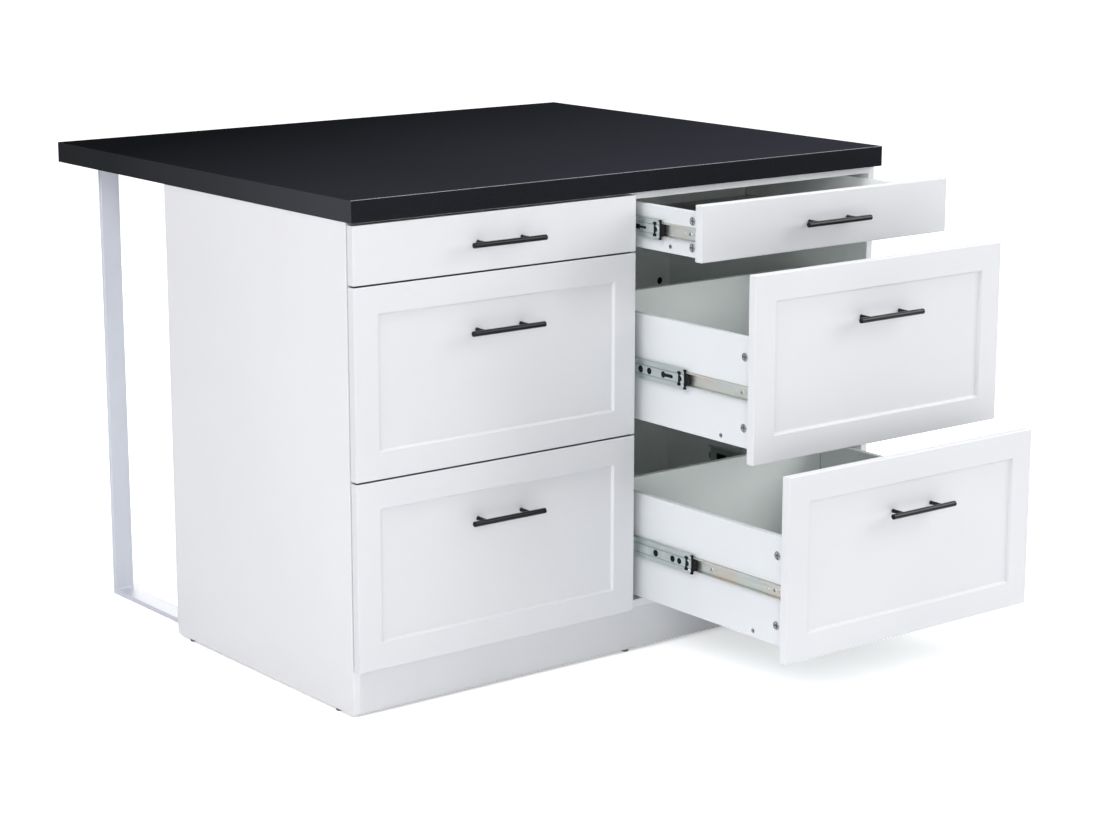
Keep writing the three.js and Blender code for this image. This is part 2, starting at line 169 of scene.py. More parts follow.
def makeGrainGroup():
    # cloudy tone and fine pimples, in Object coordinates
    sizes = {"Cloud Size": 3.0, "Grain Size": 900.0}
    group, given, out = newGroup("surfaceGrain", sizes, {"Cloud": "Float", "Grain": "Float"})
    where = addNode(group, "ShaderNodeTexCoord").outputs["Object"]
    group.links.new(noise(group, where, given["Cloud Size"], 3.0), out["Cloud"])
    group.links.new(noise(group, where, given["Grain Size"], 2.0), out["Grain"])
    return group


def makeEdgeGroup():
    # 1 where the surface turns within Reach, 0 on the flat: the mask for painted highlights along rounded
    # edges
    settings = {"Reach": 0.001, "Gain": 6.0}
    group, given, out = newGroup("edgeHighlightMask", settings, {"Edge": "Float", "Normal": "Vector"})
    soft = addNode(group, "ShaderNodeBevel", {"samples": 4}, Radius=given["Reach"]).outputs[0]
    flat = addNode(group, "ShaderNodeNewGeometry").outputs["Normal"]
    away = calculate(group, "SUBTRACT", 1.0, dotProduct(group, soft, flat))
    group.links.new(calculate(group, "MULTIPLY", away, given["Gain"], clamped=True), out["Edge"])
    group.links.new(soft, out["Normal"])
    return group


def makeBrushGroup():
    # streaks drawn out along Y, and soft patches of tarnish
    sizes = {"Streak Size": 900.0, "Patch Size": 22.0}
    group, given, out = newGroup("rolledSteel", sizes, {"Streak": "Float", "Patch": "Float"})
    where = addNode(group, "ShaderNodeTexCoord").outputs["Object"]
    drawn = addNode(group, "ShaderNodeMapping", None, Vector=where, Scale=(1.0, 0.02, 1.0)).outputs[0]
    group.links.new(noise(group, drawn, given["Streak Size"], 3.0), out["Streak"])
    group.links.new(noise(group, where, given["Patch Size"], 2.0), out["Patch"])
    return group


def makeShadeMaskGroup(name, ownOnly):
    # 1 on open surfaces, 0 in gaps and corners within Reach, of the piece alone or with its neighbours:
    # masks for painted shade
    limits = {"Reach": 0.002, "Closed At": 0.35, "Open At": 0.95}
    group, given, out = newGroup(name, limits, {"Open": "Float"})
    settings = {"samples": 8, "only_local": ownOnly}
    near = addNode(group, "ShaderNodeAmbientOcclusion", settings, Distance=given["Reach"]).outputs["AO"]
    group.links.new(ramp(group, near, given["Closed At"], given["Open At"]), out["Open"])
    return group


def blendColour(tree, factor, first, second):
    # the first colour at factor 0, the second at 1
    return addNode(tree, "ShaderNodeMix", {"data_type": "RGBA"}, i0=factor, i6=first, i7=second).outputs[2]


def ramp(tree, value, low, high, bottom=0.0, top=1.0):
    # a straight line from bottom at low to top at high, held beyond both
    limits = {"From_Min": low, "From_Max": high, "To_Min": bottom, "To_Max": top}
    return addNode(tree, "ShaderNodeMapRange", None, Value=value, **limits).outputs[0]


def placeGroup(tree, group, **inputs):
    return addNode(tree, "ShaderNodeGroup", {"node_tree": group}, **inputs).outputs


grainGroup = makeGrainGroup()
edgeGroup = makeEdgeGroup()
brushGroup = makeBrushGroup()
# masks for painted shade: in a piece's own grooves and corners, and in gaps beside other pieces
ownShadeGroup = makeShadeMaskGroup("paintedGrooveShade", True)
contactShadeGroup = makeShadeMaskGroup("paintedContactShade", False)

print("shader groups ready")


def newMaterial(name, roughness, metallic=0.0, specular=0.5):
    material = bpy.data.materials.new(name)
    material.use_nodes = True
    tree = material.node_tree
    surface = tree.nodes["Principled BSDF"].inputs
    surface["Roughness"].default_value = roughness
    surface["Metallic"].default_value = metallic
    surface["Specular IOR Level"].default_value = specular
    return material, tree, surface


def roughen(tree, surface, mask, smoothest, roughest):
    tree.links.new(ramp(tree, mask, 0.3, 0.7, smoothest, roughest), surface["Roughness"])


def emboss(tree, surface, strength, deep, height, **normal):
    made = addNode(tree, "ShaderNodeBump", None, Strength=strength, Distance=deep, Height=height, **normal)
    tree.links.new(made.outputs[0], surface["Normal"])


# the last tone is the dark grey of the painted shade in gaps beside other pieces
coatLook = {"gloss": 0.06, "deep": 0.0002, "contactShadeTone": "2E2F31"}
steelLook = {"smoother": 0.07, "rougher": 0.09, "deep": 0.0001, "paintedGrooveTone": "3A3C3D"}


def coatedMaterial(name, tones, roughness, cloud, grain, bump, edge, specular=0.5, paintedContactShade=None, litSide=None):
    # a coated board, paint or plastic: cloudy tone, fine pimples, a paler edge tone as a painted highlight,
    # and painted shade in gaps beside other pieces. tones are of the face, its clouds and its painted edge
    # highlight; a given direction and tone paint a paler copy of the board on the faces that look that way,
    # painted light for the insides
    material, tree, surface = newMaterial(name, roughness, 0.0, specular)
    tone, deepTone, edgeHighlightTone = map(shade, tones)
    spots = placeGroup(tree, grainGroup, Cloud_Size=cloud, Grain_Size=grain)
    rim = placeGroup(tree, edgeGroup, Reach=edge)
    face = blendColour(tree, ramp(tree, spots["Cloud"], 0.35, 0.65), deepTone, tone)
    # painted light: faces that look along the given direction take a paler tone
    if litSide:
        direction, litSideTone = litSide
        towards = dotProduct(tree, addNode(tree, "ShaderNodeTexCoord").outputs["Normal"], direction)
        face = blendColour(tree, ramp(tree, towards, 0.5, 0.8), face, shade(litSideTone))
    # painted highlight: the paler edge tone along the rounded edges
    face = blendColour(tree, rim["Edge"], face, edgeHighlightTone)
    # painted shade: the colour darkens to a dark grey where other pieces come close, in gaps and under
    # overhangs
    if paintedContactShade:
        reach, closedAt, openAt = paintedContactShade
        gap = placeGroup(tree, contactShadeGroup, Reach=reach, Closed_At=closedAt, Open_At=openAt)
        face = blendColour(tree, gap["Open"], shade(coatLook["contactShadeTone"]), face)
    tree.links.new(face, surface["Base Color"])
    roughen(tree, surface, spots["Grain"], roughness - coatLook["gloss"], roughness + coatLook["gloss"])
    emboss(tree, surface, bump, coatLook["deep"], spots["Grain"], Normal=rim["Normal"])
    return material


def steelMaterial(name, tone, warmTone, roughness, streak=900.0, patch=22.0, bump=0.08, reach=0.0016):
    # zinc-plated sheet: streaks along the length, patches of passivation, and painted shade that darkens
    # its grooves, holes and corners
    material, tree, surface = newMaterial(name, roughness, 1.0)
    sheetLook = placeGroup(tree, brushGroup, Streak_Size=streak, Patch_Size=patch)
    colour = blendColour(tree, ramp(tree, sheetLook["Patch"], 0.42, 0.68), shade(tone), shade(warmTone))
    # painted shade: the colour darkens in the sheet's own grooves, holes and corners
    grooveShade = placeGroup(tree, ownShadeGroup, Reach=reach)
    colour = blendColour(tree, grooveShade["Open"], shade(steelLook["paintedGrooveTone"]), colour)
    tree.links.new(colour, surface["Base Color"])
    smoothest, roughest = roughness - steelLook["smoother"], roughness + steelLook["rougher"]
    roughen(tree, surface, sheetLook["Streak"], smoothest, roughest)
    emboss(tree, surface, bump, steelLook["deep"], sheetLook["Streak"])
    return material


laminateLook = {
    "along": (-0.5, 1.0, 0.0),  # the direction in which the painted sheen fades and the tone deepens
    "reach": (-0.45, 0.85),  # metres along it
    # tones of the top, the sides and the front: lit and shaded copies of one laminate, painted light and
    # shade
    "top": ("2C2D33", "101113"),
    "side": ("46474C", "27292B"),
    "front": "1F2024",
    "cloud": ("0E0F10", 0.3, 0.7, 0.14),  # tone, range of the mask and greatest share, as in the next two
    "fleck": ("3A3B40", 0.6, 0.8, 0.3),
    "edge": ("6A6B72", 0.15, 1.0, 0.35),
    "arrisHighlight": "96979E",
}


def worktopMaterial():
    # matt laminate: near-black with faint flecks; a painted sheen makes it paler towards the front right,
    # its sides and front face take painted light and shade tones, and painted highlights pale its edges and
    # front arris
    material, tree, surface = newMaterial("worktopLaminate", 0.55, 0.0, 0.0)
    place = addNode(tree, "ShaderNodeTexCoord").outputs
    facing = addNode(tree, "ShaderNodeSeparateXYZ", None, Vector=place["Normal"]).outputs
    spots = placeGroup(tree, grainGroup, Cloud_Size=2.2, Grain_Size=1400.0)
    flecks = placeGroup(tree, grainGroup, Cloud_Size=260.0, Grain_Size=2600.0)
    rim = placeGroup(tree, edgeGroup, Reach=0.0014, Gain=4.0)
    turned = addNode(tree, "ShaderNodeSeparateXYZ", None, Vector=rim["Normal"]).outputs
    # painted sheen: paler towards the front right, deeper towards the back left
    sheenFade = ramp(tree, dotProduct(tree, place["Object"], laminateLook["along"]), *laminateLook["reach"])
    topTone = blendColour(tree, sheenFade, *map(shade, laminateLook["top"]))
    sideTone = blendColour(tree, sheenFade, *map(shade, laminateLook["side"]))
    # painted light and shade: the sides take a paler tone than the top, the front face a darker one of its
    # own
    upright = calculate(tree, "ABSOLUTE", facing["Z"])
    face = blendColour(tree, ramp(tree, upright, 0.4, 0.7), sideTone, topTone)
    crossways = calculate(tree, "ABSOLUTE", facing["Y"])
    face = blendColour(tree, ramp(tree, crossways, 0.6, 0.8), face, shade(laminateLook["front"]))
    # the edge tone is a painted highlight along the rounded edges; cloud and fleck are the laminate's own
    # tone
    for part, mask in (("cloud", spots["Cloud"]), ("fleck", flecks["Cloud"]), ("edge", rim["Edge"])):
        tone, low, high, share = laminateLook[part]
        face = blendColour(tree, ramp(tree, mask, low, high, 0.0, share), face, shade(tone))
    # painted highlight on the upper front edge, which turns both forward and up
    arrisHighlight = calculate(tree, "MINIMUM", calculate(tree, "MULTIPLY", turned["Y"], -1.0), turned["Z"])
    face = blendColour(tree, ramp(tree, arrisHighlight, 0.2, 0.5), face, shade(laminateLook["arrisHighlight"]))
    tree.links.new(face, surface["Base Color"])
    roughen(tree, surface, spots["Grain"], 0.5, 0.66)
    emboss(tree, surface, 0.12, coatLook["deep"], flecks["Grain"], Normal=rim["Normal"])
    return material


boardLook = {"roughness": 0.46, "grain": 700.0, "bump": 0.07, "edge": 0.0006}
# the third tone of each board, paint and plastic here and below is paler: a painted highlight along its
# rounded edges
carcassBoard = {"tones": ("D8D8DB", "D5D5D8", "E3E3E5"), "cloud": 2.0, **boardLook}
drawerBoard = {"tones": ("CED1D4", "CBCED1", "EBEDED"), "cloud": 3.0, **boardLook}
frontBoard = {"roughness": 0.42, "grain": 1100.0, "bump": 0.05, "edge": 0.0009, "cloud": 2.4}
frontBoard["tones"] = ("CECFD2", "CBCCCF", "E8E9EA")
frontContactShade, drawerContactShade = (0.009, 0.15, 0.6), (0.0035, 0.3, 0.9)  # reach, closed at and open at of the painted shade beside other pieces
# paler copies of the white board for faces inside the carcass and drawers and for the drawer bottoms:
# painted light
insideLitTones, bottomLitTones = ("F3F8F6", "F0F5F3", "F8FAF9"), ("DFE3E2", "DCE0DF", "E9ECEB")
legTones, glideTones = ("CDD0D9", "C9CBD5", "DADCE2"), ("5A5C60", "4E5054", "74767A")
handleTones, plasticTones = ("0E0F11", "0B0C0D", "1C1D20"), ("0D0E10", "090A0B", "1B1C1E")
handleCoat = {"cloud": 30.0, "grain": 2200.0, "bump": 0.1, "edge": 0.0006, "specular": 0.2}
plasticSkin = {"cloud": 60.0, "grain": 1800.0, "bump": 0.1, "edge": 0.0004}
insideDirections = {"left": (1.0, 0.0, 0.0), "right": (-1.0, 0.0, 0.0)}

finishes = {
    "front": coatedMaterial("frontFoil", paintedContactShade=frontContactShade, **frontBoard),
    "carcass": coatedMaterial("carcassBoard", **carcassBoard),
    "inner": coatedMaterial("innerBoard", insideLitTones, cloud=3.0, **boardLook),
    "drawerBottom": coatedMaterial("drawerBottomBoard", bottomLitTones, cloud=3.0, **boardLook),
    "worktop": worktopMaterial(),
    "leg": coatedMaterial("legPaint", legTones, 0.4, cloud=6.0, grain=1300.0, bump=0.12, edge=0.0008),
    "handle": coatedMaterial("handleCoat", handleTones, 0.22, **handleCoat),
    "plastic": coatedMaterial("blackPlastic", plasticTones, 0.4, specular=0.15, **plasticSkin),
    "glide": coatedMaterial("glidePlastic", glideTones, 0.5, **{**plasticSkin, "grain": 1600.0}),
    "runner": steelMaterial("zincSheet", "C8D1CF", "CED6D5", 0.36),
    "runnerWarm": steelMaterial("zincSheetWarm", "D4DAD6", "DCD3C8", 0.36, patch=9.0),
    "ball": steelMaterial("ballSteel", "D8DADC", "CFD1D3", 0.16, bump=0.02),
    "cam": steelMaterial("camZinc", "B4B7BA", "A3A6A9", 0.45, streak=500.0, patch=120.0, bump=0.2),
    "screw": steelMaterial("screwZinc", "B9BCC0", "A9ACB0", 0.3, streak=1500.0, patch=90.0, reach=0.003),
}
# the side boards' faces toward the inside take the paler tone: painted light
for side, direction in insideDirections.items():
    label, carcassLitSide, drawerLitSide = side.capitalize(), (direction, insideLitTones[0]), (direction, "E8ECEB")
    finishes[f"carcass{label}"] = coatedMaterial(f"{side}SideBoard", litSide=carcassLitSide, **carcassBoard)
    finishes[f"drawer{label}"] = coatedMaterial(
        f"drawer{label}Board", paintedContactShade=drawerContactShade, litSide=drawerLitSide, **drawerBoard
    )

floorMaterial, tree, surface = newMaterial("floorPaper", 0.8, 0.0, 0.2)
spots = placeGroup(tree, grainGroup, Cloud_Size=0.7, Grain_Size=300.0)
tone, deepTone = map(shade, studio["floorTones"])
paper = blendColour(tree, ramp(tree, spots["Cloud"], 0.3, 0.7), deepTone, tone)
tree.links.new(paper, surface["Base Color"])
rays = addNode(tree, "ShaderNodeLightPath")
where = addNode(tree, "ShaderNodeTexCoord").outputs["Object"]
away = addNode(tree, "ShaderNodeVectorMath", {"operation": "LENGTH"}, i0=where).outputs["Value"]
glowing = ramp(tree, away, *studio["floorReach"], *studio["floorLift"])
surface["Emission Color"].default_value = (1, 1, 1, 1)
lift = calculate(tree, "MULTIPLY", rays.outputs["Is Camera Ray"], glowing)
tree.links.new(lift, surface["Emission Strength"])

print("materials ready")


def ringSurface(rings, capped=(True, True), closed=False):
    # every shape is (points, faces), in millimetres.
    # point (i, j) is the j-th point of closed ring i; neighbours make a quad. closed joins the last ring
    # to the first, and capped fills the two end rings
    count, size = rings.shape[:2]
    i, j = np.meshgrid(np.arange(count if closed else count - 1), np.arange(size), indexing="ij")
    after, nextRing = (j + 1) % size, (i + 1) % count
    quads = np.stack([i * size + j, i * size + after, nextRing * size + after, nextRing * size + j], -1)
    faces = quads.reshape(-1, 4).tolist()
    ends = zip((0, (count - 1) * size), capped)
    faces += [list(range(start, start + size)) for start, fill in ends if fill]
    return rings.reshape(-1, 3), faces


def roundedLoop(width, height, radius, steps=4, hold=0.8):
    # each corner: its centre plus radius times (cos, sin) over a quarter turn, held flat before and after
    sweep = np.concatenate([[0], np.linspace(0, np.pi / 2, steps + 1), [np.pi / 2]])
    turn = np.arange(4)[:, None] * np.pi / 2 + sweep
    slide = np.zeros(steps + 3)
    slide[0], slide[-1] = -hold, hold
    signs = np.array([[1, 1], [-1, 1], [-1, -1], [1, -1]])
    centre = signs * (np.array([width, height]) / 2 - radius)
    x = centre[:, :1] + radius * np.cos(turn) - slide * np.sin(turn)
    y = centre[:, 1:] + radius * np.sin(turn) + slide * np.cos(turn)
    return np.stack([x, y], -1).reshape(-1, 2)


def quarter(edge, steps=4):
    # inset and depth round a quarter circle, from the flat face to the side
    angle = np.linspace(0, np.pi / 2, steps + 1)
    return np.stack([edge * (1 - np.sin(angle)), edge * (1 - np.cos(angle))], -1)


def roundedEdge(depth, edge, steps=4, hold=0.6):
    # inset and depth from one face, round its edge, down the side and round the other edge
    near = quarter(edge, steps)
    far = near[::-1] * [1, -1] + [0, depth]
    side = [[0, edge + hold], [0, depth - edge - hold]]
    return np.concatenate([[[edge + hold, 0]], near, side, far, [[edge + hold, depth]]])


def arc(centre, radius, angle):
    # points at the given angles: the centre plus the radius times (cos, sin)
    return np.array(centre) + radius * np.stack([np.cos(angle), np.sin(angle)], -1)


def circle(centre, diameter, segments=24):
    return arc(centre, diameter / 2, np.linspace(0, 2 * np.pi, segments, endpoint=False))


def acrossAxes(axis):
    # the two axes across the given one, in cyclic order
    return [(1, 2), (2, 0), (0, 1)][axis]


def tiled(loops):
    # flat faces that fill the first loop and leave the others open, as corners counted through all loops
    raised = [[Vector((x, y, 0)) for x, y in loop] for loop in loops]
    return [list(tile) for tile in tessellate_polygon(raised)]


def walls(number, across):
    # quads from each point of a loop to the next, and to the points across places further on
    after = np.roll(number, -1)
    return np.stack([number, after, after + across, number + across], -1).tolist()


def slab(low, high, edge=0.6, corner=0.6, axis=None, profile=None, facing=1, pockets=()):
    # a board: rounded rectangles that follow the inset and depth of the edge profile, counted from the
    # face that looks along the axis. pockets are (circle, depth) on that face
    low, high = np.array(low, float), np.array(high, float)
    size = high - low
    axis = int(np.argmin(size)) if axis is None else axis
    first, second = acrossAxes(axis)
    profile = roundedEdge(size[axis], edge) if profile is None else profile
    rings = []
    for inset, depth in profile:
        loop = roundedLoop(size[first] - 2 * inset, size[second] - 2 * inset, max(corner - inset, 0.08))
        rings.append(np.column_stack([loop, np.full(len(loop), depth)]))
    points, faces = ringSurface(np.array(rings))
    middle = (low + high) / 2
    if len(pockets):
        count = len(rings[0])
        holes = [hole - middle[[first, second]] for hole, depth in pockets]
        del faces[-2]
        corners = np.arange(count).tolist()
        for hole, (_, depth) in zip(holes, pockets):
            around = len(hole)
            number = len(points) + np.arange(around)
            mouth, floor = (np.column_stack([hole, np.full(around, level)]) for level in (0, depth))
            points = np.vstack([points, mouth, floor])
            corners += number.tolist()
            faces += [*walls(number, around), (number + around).tolist()]
        faces += [[corners[corner] for corner in tile] for tile in tiled([rings[0][:, :2], *holes])]
    laid = np.zeros_like(points)
    laid[:, first], laid[:, second], laid[:, axis] = points[:, 0], points[:, 1], -facing * points[:, 2]
    start = middle.copy()
    start[axis] = high[axis] if facing > 0 else low[axis]
    return laid + start, faces


def lathe(profile, centre, axis, segments=32):
    # profile of (radius, height) turned about an axis: radius times (cos, sin), height along the axis
    profile = np.array(profile, float)
    angle = np.linspace(0, 2 * np.pi, segments, endpoint=False)
    first, second = acrossAxes(axis)
    rings = np.zeros((len(profile), segments, 3))
    rings[..., first] = profile[:, :1] * np.cos(angle)
    rings[..., second] = profile[:, :1] * np.sin(angle)
    rings[..., axis] = profile[:, 1:]
    points, faces = ringSurface(rings)
    return points + np.array(centre, float), faces


def plate(outline, holes, near, far, axis=0):
    # a flat sheet with holes: the outline and holes at two depths, tiled faces and straight walls
    loops = [np.array(outline, float)] + [np.array(hole, float) for hole in holes]
    flat = np.concatenate(loops)
    count = len(flat)
    tiles = tiled(loops)
    faces = tiles + [[corner + count for corner in tile] for tile in tiles]
    start = 0
    for loop in loops:
        faces += walls(start + np.arange(len(loop)), count)
        start += len(loop)
    first, second = acrossAxes(axis)
    points = np.zeros((2 * count, 3))
    points[:, first], points[:, second] = np.tile(flat, (2, 1)).T
    points[:count, axis], points[count:, axis] = near, far
    return points, faces


def rectangle(left, right, bottom, top):
    # the four corners in turn, from the lower left
    return np.array([(left, bottom), (right, bottom), (right, top), (left, top)], float)


def crossShape(centre, reach, width):
    # a four-armed recess: the corners of one arm, turned by quarter turns
    arm = np.array([(width / 2, width / 2), (reach, width / 2), (reach, -width / 2)])
    angles = -np.arange(4) * np.pi / 2
    turns = [np.array([(math.cos(a), math.sin(a)), (-math.sin(a), math.cos(a))]) for a in angles]
    return np.array(centre) + np.concatenate([arm @ turn for turn in turns])


def slot(start, end, height, width, segments=8):
    # a round-ended slot from start to end along the first axis
    angle = np.linspace(-np.pi / 2, np.pi / 2, segments)
    return np.concatenate([arc((end, height), width / 2, angle), arc((start, height), -width / 2, angle)])


def grown(loop, amount):
    # an outline pushed out from its middle by a fixed amount
    loop = np.array(loop, float)
    centre = (loop.min(0) + loop.max(0)) / 2
    half = (loop.max(0) - loop.min(0)) / 2
    return centre + (loop - centre) * (half + amount) / half


def keyhole(start, end, height, width, diameter, segments=14):
    # a narrow slot that opens into a round hole at its far end
    half = math.asin(width / diameter)
    head = arc((end, height), diameter / 2, np.linspace(np.pi + half, 3 * np.pi - half, segments))
    nose = arc((start, height), width / 2, np.linspace(np.pi / 2, 3 * np.pi / 2, 7))
    return np.concatenate([head, nose])


def filleted(line, radius, steps=4):
    # replaces each inner corner of a bent line by points on a curve that leaves and meets its two legs
    line = np.array(line, float)
    result = [line[:1]]
    share = np.linspace(0, 1, steps + 1)[:, None]
    for before, corner, after in zip(line[:-2], line[1:-1], line[2:]):
        legs = [(end - corner, np.linalg.norm(end - corner)) for end in (before, after)]
        reach = min(radius, *(length * 0.45 for _, length in legs))
        start, stop = (corner + leg / length * reach for leg, length in legs)
        result.append((1 - share) ** 2 * start + 2 * share * (1 - share) * corner + share**2 * stop)
    return np.concatenate(result + [line[-1:]])


def bentSheet(line, thickness):
    # a sheet round a centre line: half the thickness to each side, mitred where it bends
    runs = np.diff(line, axis=0)
    runs /= np.linalg.norm(runs, axis=1)[:, None]
    before, after = np.vstack([runs[:1], runs]), np.vstack([runs, runs[-1:]])
    mitre = np.stack([-before[:, 1] - after[:, 1], before[:, 0] + after[:, 0]], -1)
    offset = mitre * (thickness / (mitre**2).sum(1))[:, None]
    return np.concatenate([line + offset, (line - offset)[::-1]])


def extrusion(section, start, end):
    # a closed section in (X, Z) carried along Y
    x, z = section.T
    return ringSurface(np.stack([np.column_stack([x, np.full(len(x), y), z]) for y in (start, end)]))


sharpAngle = 34  # degrees between two faces, from which their edge is drawn sharp


def addPiece(name, shapes, finish, body, replaces=(), bevel=0):
    # all the shapes as one mesh with its faces outwards, riding on a body
    points, faces, start = [], [], 0
    for shapePoints, shapeFaces in shapes:
        points.append(shapePoints)
        faces += [[corner + start for corner in face] for face in shapeFaces]
        start += len(shapePoints)
    mesh = bpy.data.meshes.new(name)
    mesh.from_pydata((np.concatenate(points) / 1000).tolist(), [], faces)
    work = bmesh.new()
    work.from_mesh(mesh)
    bmesh.ops.recalc_face_normals(work, faces=work.faces)
    work.to_mesh(mesh)
    work.free()
    mesh.polygons.foreach_set("use_smooth", np.ones(len(mesh.polygons), bool))
    mesh.set_sharp_from_angle(angle=math.radians(sharpAngle))
    mesh.materials.append(finishes[finish])
    piece = bpy.data.objects.new(name, mesh)
    bpy.context.collection.objects.link(piece)
    if bevel:
        rounding = piece.modifiers.new("rounding", "BEVEL")
        rounding.width = bevel / 1000
        rounding.segments = 2
        rounding.limit_method = "ANGLE"
    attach(piece, body)
    if replaces:
        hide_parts(*replaces)


# the floor is one wide square
half = studio["floorHalf"]
floorMesh = bpy.data.meshes.new("floor")
corners = [(x * half, y * half, 0) for x, y in ((-1, -1), (1, -1), (1, 1), (-1, 1))]
floorMesh.from_pydata(corners, [], [(0, 1, 2, 3)])
floorMesh.materials.append(floorMaterial)
floor = bpy.data.objects.new("floor", floorMesh)
bpy.context.collection.objects.link(floor)

worktopLook = {"edge": 0.9, "corner": 0.9}
shape = slab(*cadRange("worktop"), **worktopLook)
addPiece("worktopSlab", [shape], "worktop", "carcass", ["worktop"])

boardEdge = 0.5  # radius of the rounded edges and corners


def addBoard(name, low, high, finish, node, **look):
    # a rounded slab between two corners
    shape = slab(low, high, boardEdge, boardEdge, **look)
    addPiece(name, [shape], finish, "carcass", [node])


# the partition and rear rails take the paler inside board: painted light
carcassFinishes = {
    "left_side_panel": "carcassLeft",
    "right_side_panel": "carcassRight",
    "centre_partition": "inner",
    "bottom_panel": "carcass",
}
for column in columns:
    carcassFinishes[f"{column}_front_rail"] = "carcass"
    carcassFinishes[f"{column}_rear_rail"] = "inner"
for node, finish in carcassFinishes.items():
    addBoard(f"{node}_board", *cadRange(node), finish, node)

glideLook = {"width": 14.0, "height": 5.0, "round": 1.4, "chamfer": 0.4, "root": 0.3, "stem": 3.0}


def glideShape(x, y):
    # a round foot with a rolled lower edge, and a stem into the board above it
    radius, height = glideLook["width"] / 2, glideLook["height"]
    edge, chamfer = glideLook["round"], glideLook["chamfer"]
    rim = quarter(edge, 5)
    foot = np.stack([radius - rim[:, 0], rim[:, 1]], -1)
    stem = [(glideLook["stem"], height), (glideLook["stem"], height + glideLook["root"])]
    top = [(radius, height - chamfer), (radius - chamfer, height), *stem]
    return lathe(np.concatenate([[[radius - edge - 0.5, 0]], foot, top]), (x, y, 0), 2)


def addGlide(name, x, y, replaces=()):
    addPiece(f"{name}_foot", [glideShape(x, y)], "glide", "carcass", replaces)


for column in columns:
    for place in ("front", "rear"):
        node = f"{column}_{place}_glide"
        low, high = cadRange(node)
        addGlide(node, *((low + high) / 2)[:2], [node])

# the plinth and the centre floor board each stand on one glide of their own
low, high = cadRange("plinth")
low[2] = glideLook["height"]
addBoard("plinth_board", low, high, "front", "plinth")
addGlide("plinth", *((low + high) / 2)[:2])
rearGlideY = sum(cadRange("left_rear_glide"))[1] / 2
low, high = cadRange("centre_floor_board")
low[2] = glideLook["height"]
addBoard("floor_board", low, high, "carcass", "centre_floor_board")
addGlide("floor_board", (low[0] + high[0]) / 2, rearGlideY)

# cam locks and screws: a head stands in from its face by sink, and its cross goes recess deeper
camHead = {"width": 15.0, "depth": 8.5, "sink": 0.6, "reach": 5.8, "arm": 2.4, "recess": 3.2}
backHead = {**camHead, "depth": 9.5, "sink": 2.0, "recess": 3.0}
pinHead = {"width": 8.0, "depth": 3.6, "sink": 0.8, "reach": 2.4, "arm": 1.2, "recess": 1.6}
loopHead = {"width": 9.0, "depth": 1.4, "sink": -0.9, "reach": 2.6, "arm": 1.1, "recess": 1.1}
outerHead = {"width": 6.2, "depth": 0.9, "sink": 0.1, "reach": 2.0, "arm": 0.8, "recess": 0.6}
innerHead = {"width": 7.0, "depth": 0, "sink": -1.3, "reach": 2.3, "arm": 0.9, "recess": 0.9}
pocketLook = {"cam": 15.8, "camDepth": 9.0, "backDepth": 10.0, "pin": 8.6, "pinDepth": 4.0, "segments": 28}


def crossHead(centre, look, axis, facing, start):
    # a round head with a chamfered rim on a face at start, and a cross-shaped recess over a thin disc
    width, sink, around = look["width"], look["sink"], pocketLook["segments"]
    top, bottom, floor = (start - facing * value for value in (sink, look["depth"], sink + look["recess"]))
    chamfer = width * 0.03
    crown = circle(centre, width - 4 * chamfer, around)
    face = plate(crown, [crossShape(centre, look["reach"], look["arm"])], top, floor, axis)
    base = plate(crown, [], floor - facing * 0.05, floor - facing * 0.6, axis)
    first, second = acrossAxes(axis)
    rings = []
    # chamfers in from the rim, and place along the axis
    outline = [(2, top), (1, top), (0, top - facing * chamfer), (0, bottom), (2, bottom), (2, floor)]
    for inset, level in outline:
        loop = circle(centre, width - 2 * inset * chamfer, around)
        ring = np.zeros((around, 3))
        ring[:, first], ring[:, second], ring[:, axis] = loop[:, 0], loop[:, 1], level
        rings.append(ring)
    return [face, ringSurface(np.array(rings), capped=(False, False), closed=True), base]


def crossHeads(places, *look):
    return [shape for place in places for shape in crossHead(place, *look)]


def camPockets(places, depth):
    return [(circle(place, pocketLook["cam"], pocketLook["segments"]), depth) for place in places]


# the back panel has a column of cam locks along each side of its inner face
backLook = {"camInset": 26.0, "pitch": 256.0, "rows": 4}
low, high = cadRange("back_panel")
rise = (np.arange(backLook["rows"]) - (backLook["rows"] - 1) / 2) * backLook["pitch"]
# across Y the cyclic order is (Z, X)
camEnds = (low[0] + backLook["camInset"], high[0] - backLook["camInset"])
camPlaces = [(z, x) for z in (low[2] + high[2]) / 2 + rise for x in camEnds]
pockets = camPockets(camPlaces, pocketLook["backDepth"])
# the back panel takes the paler inside board: painted light
addBoard("back_panel_board", low, high, "inner", "back_panel", axis=1, facing=-1, pockets=pockets)
caps = crossHeads(camPlaces, backHead, 1, -1, low[1])
addPiece("back_panel_cams", caps, "plastic", "carcass")

print("carcass ready")

# leg loops are flat bar, mitred and welded into a rectangle
loopLook = {"bar": 10.0, "edge": 0.9, "corner": 1.2, "screwInset": 34.0}
weldLook = {"radius": 1.5, "inset": 2.5, "ripple": 0.08, "ripples": 60, "tip": 0.05, "stations": 41}

